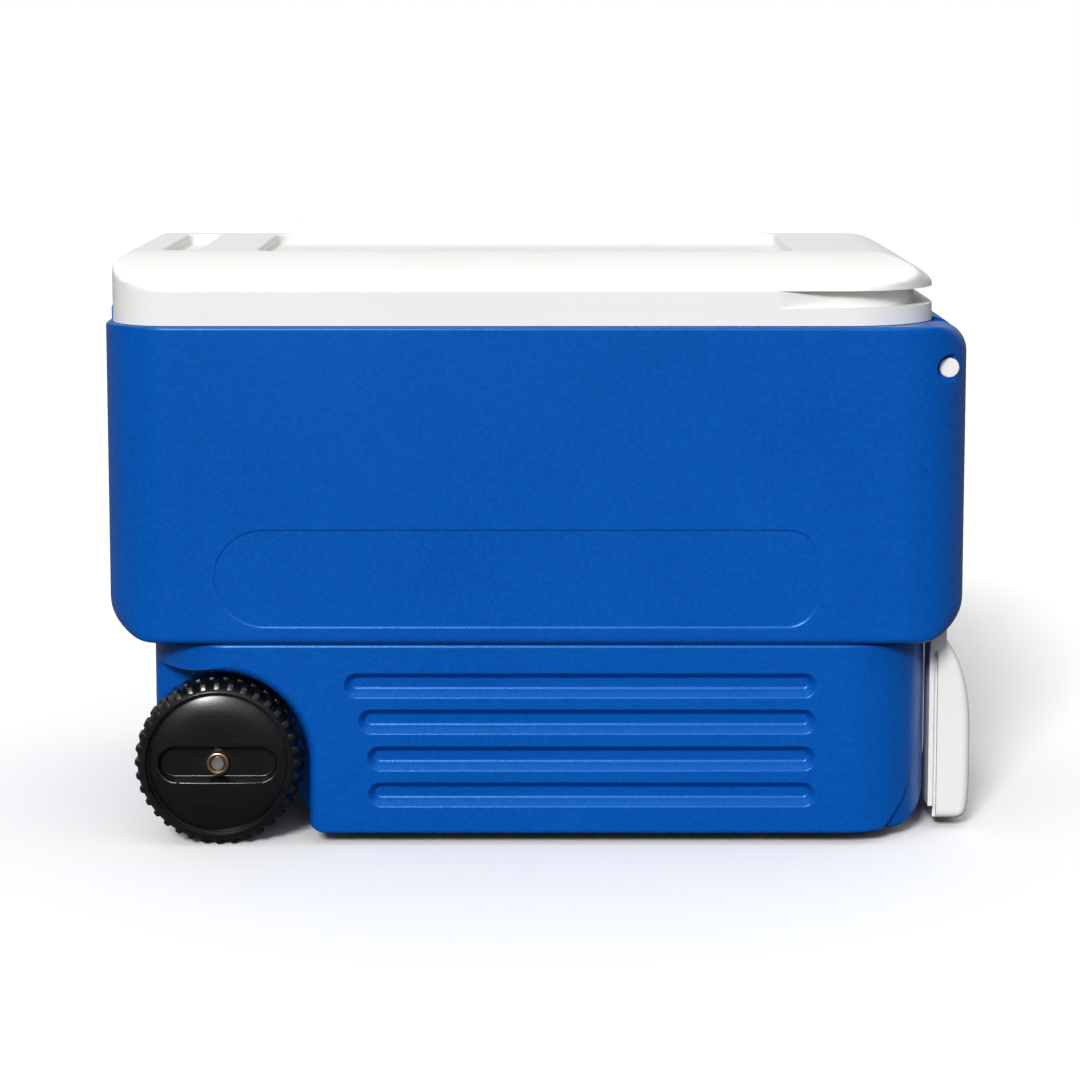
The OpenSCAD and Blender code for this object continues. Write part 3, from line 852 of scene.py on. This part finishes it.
liner = cavity(LINER_WALL, RIM_Z - 1)
flange = plan_block("liner_flange", (TUB_X0 + 11.2, TUB_X1 - 29.2), TUB_HW - 10.2, rim_z, 38, 56)
round_sharp(flange, 0.8, 2)
fuse(liner, flange)
carve(liner, cavity(0, RIM_Z + 30))
round_sharp(liner, 2.2, 4, lambda a, b: min(a.z, b.z) > RIM_Z - 0.1)
settle(liner, "tub", WHITE_LINER, "liner")


# Lid -------------------------------------------------------------------------


def arc_centre(p, q, r):
    """Centre of the arc of radius r that bulges upwards from p down to q."""
    p, q = Vector(p), Vector(q)
    run = (q - p).normalized()
    rise = math.sqrt(r * r - ((q - p).length / 2) ** 2)
    return (p + q) / 2 + rise * Vector((run.y, -run.x))


crown_c = arc_centre((CROWN_Y, LID_TOP), (LID_HW, SHOULDER_Z), CROWN_R)
nose_c = arc_centre((NOSE_X, LID_TOP), (LID_X1, SHOULDER_Z), NOSE_R)
shoulder_low = SHOULDER_Z - SHOULDER_R * math.tan(math.radians(SHOULDER_TURN / 2))
lid = plan_block("lid_shell", (LID_X0, LID_X1), LID_HW, (LID_Z0, shoulder_low), 44, 65, 18)
rings = []
for k in range(1, 19):
    if k < 6:
        turn = math.radians(SHOULDER_TURN * k / 5)
        hw = LID_HW - SHOULDER_R * (1 - math.cos(turn))
        z = shoulder_low + SHOULDER_R * math.sin(turn)
        shoulder_hw = hw
    else:
        hw = shoulder_hw - (shoulder_hw - CROWN_Y) * (k - 5) / 13
        z = crown_c.y + math.sqrt(CROWN_R**2 - (hw - crown_c.x) ** 2)
    nose = nose_c.x + math.sqrt(NOSE_R**2 - (z - nose_c.y) ** 2)
    nose = min(nose, LID_X1 - min(LID_HW - hw, 4.4) / 2)
    left = rounding(LEFT_EDGE_R, LID_TOP - z)
    rings.append(((LID_X0 + left, -hw, z), (nose, hw, z)))
squeeze_rings(lid, lambda c, n: n.z > 0.9, rings, 9.0)


def hollow_tool(name, x, hw, r):
    """Tool for a shallow hollow in the lid's top, with rolled edges above and below."""
    bottom, edge, rings = LID_TOP - HOLLOW_DEPTH, HOLLOW_EDGE_R, []
    tool = plan_block(name, x, hw, (bottom, LID_TOP - edge), r, r, 10)
    round_edges(tool, HOLLOW_FOOT_R, 4, lambda a, b: max(a.z, b.z) < bottom + 0.1)
    for k in range(1, 6):
        turn = math.radians(18 * k)
        g, z = edge * (1 - math.cos(turn)), LID_TOP - edge * (1 - math.sin(turn))
        rings.append(((x[0] - g, -hw - g, z), (x[1] + g, hw + g, z)))
    g = edge + 2
    rings.append(((x[0] - g, -hw - g, LID_TOP + 0.1), (x[1] + g, hw + g, LID_TOP + 0.1)))
    raise_rings(tool, lambda c, n: n.z > 0.9, rings)
    return tool


carve(lid, hollow_tool("tray", (-198, 174), 95, 20), hollow_tool("trough", (-264, -241), 86, 10))
gap = block("lip_gap", (140, FAR_X), (-FAR_Y, FAR_Y), LIP_Z)
neck_z, fade_z = (RIM_Z - 40, LID_TOP + 40), (RIM_Z - 30, LID_TOP + 30)
neck = plan_block("neck", (LID_X0, LID_X1 - 13), LID_HW - 8, neck_z, 44, 57)
fade = block("fade", (60, 152), (-LID_HW - 1, LID_HW + 1), fade_z)
rings = []
# Where the gap runs out along the long side: place along X, and how deep it is there
for x, g in ((157, 1.0), (164, 2.2), (171, 3.9), (178, 5.8), (185, 7.5), (191, 8.6), (196, 9.2)):
    rings.append(((x, -LID_HW - 1 + g, fade_z[0]), (x, LID_HW + 1 - g, fade_z[1])))
raise_rings(fade, lambda c, n: n.x > 0.9, rings)
carve(gap, fuse(neck, fade))
carve(lid, gap)
inside_z = (LID_Z0 - 20, LID_IN_TOP)
inside = plan_block("inside", (LID_X0 + 3, LID_X1 - 16), LID_HW - 11, inside_z, 41, 54)
round_edges(inside, LID_IN_R, 5, lambda a, b: min(a.z, b.z) > LID_IN_TOP - 0.1)
carve(inside, block("rail", (-FAR_X, LID_X0 + 10), (-130, 130), (0, HINGE_Z + 7.7)))
lid_fill = copied(inside, "lid_foam_fill")
carve(lid, inside)
for y in ((-HINGE_Y - 23, -HINGE_Y - 10), (-HINGE_Y + 10, -HINGE_Y + 23)):
    notch = rod("notch", HINGE_X, HINGE_Z, NOTCH_R, y, 32)
    fuse(notch, block("under", (-FAR_X, HINGE_X + NOTCH_R), y, (0, HINGE_Z)))
    fuse(notch, block("behind", (-FAR_X, HINGE_X), y, (0, HINGE_Z + NOTCH_R)))
    carve(lid, *pair(notch))
settle(lid, "lid", WHITE_LID, "lid_shell")
panel_top = LID_Z0 + 3
carve(lid_fill, block("panel_space", (-FAR_X, FAR_X), (-FAR_Y, FAR_Y), (0, panel_top)))
plug_z = (RIM_Z - 12.5, panel_top + 0.01)
fuse(lid_fill, plan_block("plug_fill", (-251.5, 229.5), 134.5, plug_z, 23.5, 23.5, 10))
settle(lid_fill, "lid", FOAM, "lid_foam")


# Wheels ----------------------------------------------------------------------


def turned_rings(rings):
    """Corners of rings about the axle, each given by its distance from the middle and its radius."""
    return [((AXLE_X - r, -y, AXLE_Z - r), (AXLE_X + r, -y, AXLE_Z + r)) for y, r in rings]


def tread_lug(y0, y1, turn):
    """Chunky lug on the tread, turned about the axle."""
    top = AXLE_Z + WHEEL_R
    lug = block("lug", (AXLE_X - 3.5, AXLE_X + 3.5), (-y1, -y0), (AXLE_Z + 49, top))
    choose(lug, "FACE", lambda c, n: n.z > 0.9)
    middle = (AXLE_X * MM, -(y0 + y1) / 2 * MM, top * MM)
    bpy.ops.transform.resize(value=(0.62, 0.88, 1), center_override=middle)
    close_edit()
    if y1 > FACE_Y - 5:
        slice_at(lug, 1, [-(FACE_Y - 8.0), -(FACE_Y - 4.5)])
        move_chosen(lug, lambda co: co.z > top - 1 and co.y < -(FACE_Y - 4), (0, 0, -4.6))
        move_chosen(lug, lambda co: co.z > top - 1 and abs(co.y + FACE_Y - 4.5) < 0.5, (0, 0, -1.5))
    round_sharp(lug, 1.1, 3, lambda a, b: max(a.z, b.z) > top - 5.5)
    about = Matrix.Translation((AXLE_X * MM, 0, AXLE_Z * MM))
    lug.data.transform(about @ Matrix.Rotation(turn, 4, "Y") @ about.inverted())
    return lug


wheel = rod("wheel_front", AXLE_X, AXLE_Z, TREAD_R, (-(FACE_Y - 11), -TYRE_IN_Y), 144)
# Shoulder, rim, groove round the disc and domed disc: depth behind the face, then radius
face = [(8, TREAD_R - 0.5), (5, TREAD_R - 1.8), (2.6, TREAD_R - 3.6), (1.1, TREAD_R - 4.9)]
face += [(0.4, 49.7), (0.4, 49.2), (1.2, 48.8), (4.4, 48.5), (4.6, 47.6), (4.3, 46.8), (3.2, 43.8)]
face += [(2.0, 39.6), (1.1, 35), (0.5, 29), (0.15, 22), (0, 12)]
front = [(FACE_Y - depth, r) for depth, r in face]
raise_rings(wheel, lambda c, n: n.y < -0.9, turned_rings(front))
back = [(TYRE_IN_Y, 50), (TYRE_IN_Y + 1, 49.4), (FACE_Y - 14, 48.5), (FACE_Y - 14, 15)]
back += [(HUB_IN_Y + 1, 14), (HUB_IN_Y, 13)]
raise_rings(wheel, lambda c, n: n.y > 0.9, turned_rings(back))
slot = rod("slot", AXLE_X - SLOT_X, AXLE_Z, SLOT_R, (-(FACE_Y + 2), -(FACE_Y - 8)), 40, 13.0)
move_chosen(slot, lambda co: co.x > AXLE_X - SLOT_X + 0.1, (2 * SLOT_X, 0, 0))
carve(wheel, slot)


def on_disc(a, b):
    """Whether an edge lies on the wheel's disc or in its slot."""
    return all(p.y < -(FACE_Y - 9) and abs(p.x - AXLE_X) < 46 for p in (a, b))


round_sharp(wheel, 0.9, 3, on_disc, 30)
carve(wheel, rod("bore", AXLE_X, AXLE_Z, 4.1, (-FAR_Y, 0), 32))
lugs = []
for k in range(LUGS):
    step = 2 * math.pi / LUGS
    lugs.append(tread_lug(FACE_Y - 15.5, FACE_Y - 1.6, step * k))
    lugs.append(tread_lug(FACE_Y - 33, FACE_Y - 18.5, step * (k + 0.5)))
together("wheel_front", [wheel] + lugs)
wheel_rear = mirrored(wheel, "wheel_rear")
settle(wheel, "front_wheel", BLACK_WHEEL, "wheel_front")
settle(wheel_rear, "rear_wheel", BLACK_WHEEL, "wheel_rear")

cap_r, cap_out, cap_in = cap_high.z - AXLE_Z, -cap_low.y, -cap_high.y
cap = rod("axle_cap_front", AXLE_X, AXLE_Z, cap_r, (-(cap_out - 1.2), -cap_in), 48)
# Rounded rim and sunk middle: depth behind the outer end, and distance inside the cap's edge
dish = [(0.5, 0.25), (0.1, 0.8), (0, 1.5), (0.2, 2.2), (1.0, 2.6), (3.2, 2.8)]
rings = [(cap_out - depth, cap_r - inset) for depth, inset in dish] + [(cap_out - 3.2, 4.0)]
raise_rings(cap, lambda c, n: n.y < -0.9, turned_rings(rings))
carve(cap, rod("bore", AXLE_X, AXLE_Z, 4.0, (-FAR_Y, 0), 32))
cap_rear = mirrored(cap, "axle_cap_rear")
settle(cap, "tub", BRONZE, "axle_nut_front")
settle(cap_rear, "tub", BRONZE, "axle_nut_rear")


# Tow handle ------------------------------------------------------------------


def grip_fall(z):
    """How far the grip's outer face lies inside its fullest point."""
    if z > GRIP_FULL:
        return (GRIP_X1 - ARM_X1) * ((z - GRIP_FULL) / (GRIP_Z1 - GRIP_FULL)) ** 3.5
    return 3 * ((GRIP_FULL - z) / (GRIP_FULL - GRIP_Z0)) ** 4


grip_x = (GRIP_X0, GRIP_X1 - grip_fall(GRIP_MID))
grip = plan_block("tow_handle", grip_x, HANDLE_HW, (GRIP_MID - 4, GRIP_MID), 2.0, 6.5, 8)
rings = []
for k in range(1, 19):
    z = GRIP_MID + (GRIP_Z1 - GRIP_MID) * k / 18
    rings.append(((GRIP_X0, -HANDLE_HW, z), (GRIP_X1 - grip_fall(z), HANDLE_HW, z)))
raise_rings(grip, lambda c, n: n.z > 0.9, rings)
rings = []
for k in range(1, 17):
    up = 1 - math.sin(math.radians(90 * k / 16))
    z = GRIP_Z0 + (GRIP_MID - 4 - GRIP_Z0) * up
    g = rounding(5.0, z - GRIP_Z0)
    rings.append(((GRIP_X0, -HANDLE_HW + g, z), (GRIP_X1 - grip_fall(z) - g, HANDLE_HW - g, z)))
raise_rings(grip, lambda c, n: n.z < -0.9, rings)
window_y = (-(HANDLE_HW - ARM_W), HANDLE_HW - ARM_W)
window = block("window", (200, FAR_X), window_y, (GRIP_Z0 + GRIP_BAR, 500))
for y in window_y:
    round_edges(window, 14, 8, edge_at((1, 2), (y, GRIP_Z0 + GRIP_BAR)))
carve(grip, window)
arm_y = (-HANDLE_HW, -(HANDLE_HW - ARM_W))
arm = block("arm", (ARM_X0, ARM_X1), arm_y, (GRIP_Z1 - 12, PIVOT_Z))
fuse(arm, rod("head", PIVOT_X, PIVOT_Z, 9.8, arm_y, 48))
fuse(grip, *pair(arm))
# The seam between the grip's two mouldings, and the inner one set back along it
under_grip = GRIP_Z0 - 20
strip = block("strip", (GRIP_X0 - 5, 273.4), (-FAR_Y, -(HANDLE_HW - 1.6)), (under_grip, 126))
seam = block("seam", (271.2, 273.8), (-FAR_Y, -(HANDLE_HW - 7)), (under_grip, 124))
corner = block("corner", (GRIP_X0 - 5, 272), (-FAR_Y, FAR_Y), (under_grip, GRIP_Z0 + 9))
carve(grip, *pair(strip), *pair(seam), corner)
carve(grip, rod("pivot_hole", PIVOT_X, PIVOT_Z, PIN_R + 0.08, (-FAR_X, FAR_X), 48))
settle(grip, "handle", WHITE_HANDLE, "tow_handle")

pin = rod("handle_pin_front", PIVOT_X, PIVOT_Z, PIN_R, (pin_low.y, pin_high.y), 48)
round_sharp(pin, 1.2, 4)
pin_rear = mirrored(pin, "handle_pin_rear")
settle(pin, "tub", WHITE_HANDLE, "handle_pin_front")
settle(pin_rear, "tub", WHITE_HANDLE, "handle_pin_rear")


# Solid nodes that stay, with their finishes -----------------------------------

KEPT = {
    "body_fill_plug": BLUE,
    "lid_liner": WHITE_LINER,
    "lid_fill_plug": WHITE_LINER,
    "hinge_pin_front": STEEL,
    "hinge_pin_rear": STEEL,
    "axle": STEEL,
    "axle_bush_front": BLACK_NYLON,
    "axle_bush_rear": BLACK_NYLON,
    "wheel_washer_front": STEEL,
    "wheel_washer_rear": STEEL,
}
for node, material in KEPT.items():
    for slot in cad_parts[node].material_slots:
        slot.material = material


# Floor, light and camera ------------------------------------------------------

bpy.ops.mesh.primitive_plane_add(size=14, location=(0, 0, 0))
floor = placed("floor")
floor_paint = moulded(
    "pale_floor", (0.97, 0.97, 0.97), (0.96, 0.96, 0.96), (0.98, 0.98, 0.98), 0.8,
    grain_scale=300.0, grain_depth=0.02, drift_scale=1.0, scuff=0.0, edge=0.0, specular=0.0,
)  # fmt: skip
floor_nodes = Nodes(floor_paint.node_tree)
floor_shader = floor_nodes.tree.nodes["Principled BSDF"]
floor_color = floor_shader.inputs["Base Color"].links[0].from_socket
seen = floor_nodes.add("ShaderNodeLightPath").outputs["Is Camera Ray"]
floor_color = blend_color(floor_nodes, seen, (0.12, 0.12, 0.12, 1.0), floor_color)
floor_nodes.join(floor_color, floor_shader.inputs["Base Color"])
floor.data.materials.append(floor_paint)


def softbox(name, place, aim, width, height, watts):
    """Rectangular studio light aimed at a point, in metres."""
    light = bpy.data.lights.new(name, "AREA")
    light.shape = "RECTANGLE"
    light.size, light.size_y = width, height
    light.energy = watts
    obj = bpy.data.objects.new(name, light)
    bpy.context.collection.objects.link(obj)
    obj.location = place
    obj.rotation_euler = (Vector(aim) - Vector(place)).to_track_quat("-Z", "Y").to_euler()
    return obj


softbox("front_fill", (0.0, -3.2, 1.3), (0.0, 0.0, 0.2), 1.4, 1.0, 3.0)

# A broad key light from the front left, and a sky that brightens upwards and darkens to the sides
key = bpy.data.lights.new("key", "SUN")
key.energy, key.angle = 2.75, math.radians(14)
key_obj = bpy.data.objects.new("key", key)
bpy.context.collection.objects.link(key_obj)
key_obj.rotation_euler = Vector((0.26, 1.0, -0.6)).to_track_quat("-Z", "Y").to_euler()

world = bpy.data.worlds.new("studio")
world.use_nodes = True
sky = Nodes(world.node_tree)
background = sky.tree.nodes["Background"]
background.inputs["Color"].default_value = (1, 1, 1, 1)
way = sky.add("ShaderNodeTexCoord").outputs["Generated"]
height = sky.add("ShaderNodeSeparateXYZ")
sky.join(way, height.inputs["Vector"])
light = ramp(sky, height.outputs["Z"], 0.0, 0.75, 0.2, 0.91)
aside = calc(sky, "ABSOLUTE", height.outputs["X"], 0.0)
light = calc(sky, "MULTIPLY", light, ramp(sky, aside, 0.4, 0.9, 1.0, 0.3))
seen = sky.add("ShaderNodeLightPath").outputs["Is Camera Ray"]
shown = ramp(sky, seen, 0.0, 1.0, 0.0, 1.0)
sky.join(light, shown.node.inputs["To Min"])
sky.join(shown, background.inputs["Strength"])
bpy.context.scene.world = world
bpy.context.scene.view_settings.view_transform = "Standard"

camera = bpy.data.cameras.new("camera")
camera.lens, camera.sensor_width = 101.1, 36.0
camera.shift_y = -0.12
camera.clip_end = 50.0
camera_obj = bpy.data.objects.new("camera", camera)
bpy.context.collection.objects.link(camera_obj)
camera_obj.location = (-0.0016, -2.1915, 0.5457)
camera_obj.rotation_euler = (math.radians(90 - 6.987), 0, 0)
bpy.context.scene.camera = camera_obj
